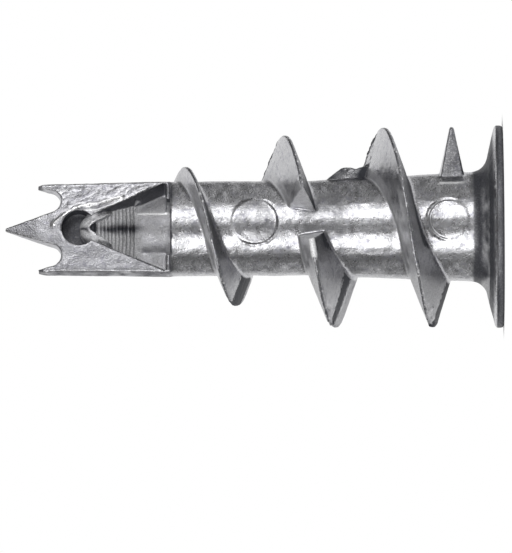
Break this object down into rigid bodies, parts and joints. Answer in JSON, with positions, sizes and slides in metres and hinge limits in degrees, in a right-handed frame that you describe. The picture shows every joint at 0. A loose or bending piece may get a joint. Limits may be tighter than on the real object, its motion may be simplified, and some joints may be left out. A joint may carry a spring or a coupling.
{
  "type": "metal plasterboard anchor",
  "caption": "Self-drilling cast zinc wall anchor with a coarse helical flight, flat drill tip and round flange, for fixing a screw in plasterboard.",
  "frame": {"origin": "centre of the flange's outer face, which the anchor stands on", "axes": "+Z along the screw bore from the flange to the drill tip; the die parts in the XZ plane, and the side with the ejector pin marks faces -Y"},
  "size_m": [0.0126, 0.0126, 0.031],
  "materials": {
    "zinc": "as cast"
  },
  "bodies": {
    "root": {"anchor_body": "zinc"}
  },
  "joints": []
}
